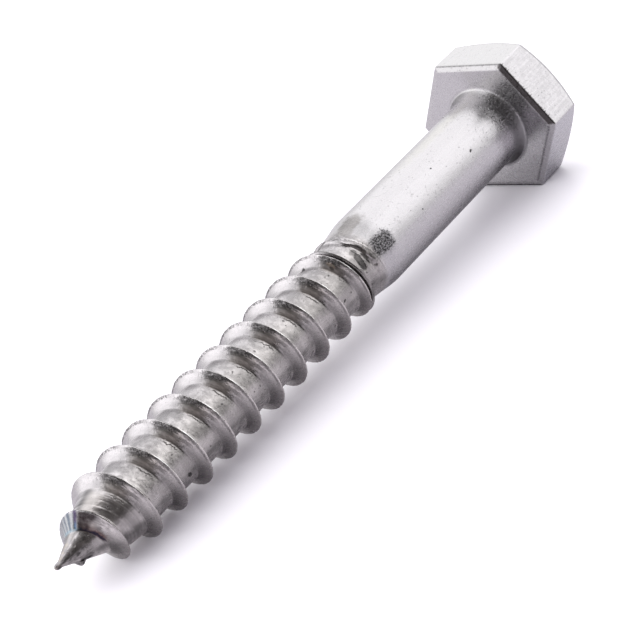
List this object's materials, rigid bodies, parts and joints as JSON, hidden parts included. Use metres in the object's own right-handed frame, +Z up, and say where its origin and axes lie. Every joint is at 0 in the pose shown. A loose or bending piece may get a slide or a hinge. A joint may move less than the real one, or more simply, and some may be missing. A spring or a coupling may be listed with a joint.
{
  "type": "coach screw",
  "caption": "Stainless coach screw with a hexagon head, plain shank and coarse pointed wood thread, lying at rest.",
  "frame": {"origin": "on the surface the screw lies on, under the middle of its box", "axes": "+Z up, +X from the point towards the head, +Y across; the screw lies on one head flat and one thread crest, so its axis dips 2.7 degrees towards the point"},
  "size_m": [0.0538, 0.0116, 0.0101],
  "materials": {
    "stainless": "tumbled satin with fine pits, brushed marks on the head flats and a heat tint near the point"
  },
  "bodies": {
    "root": {"coach_screw": "stainless"}
  },
  "joints": []
}
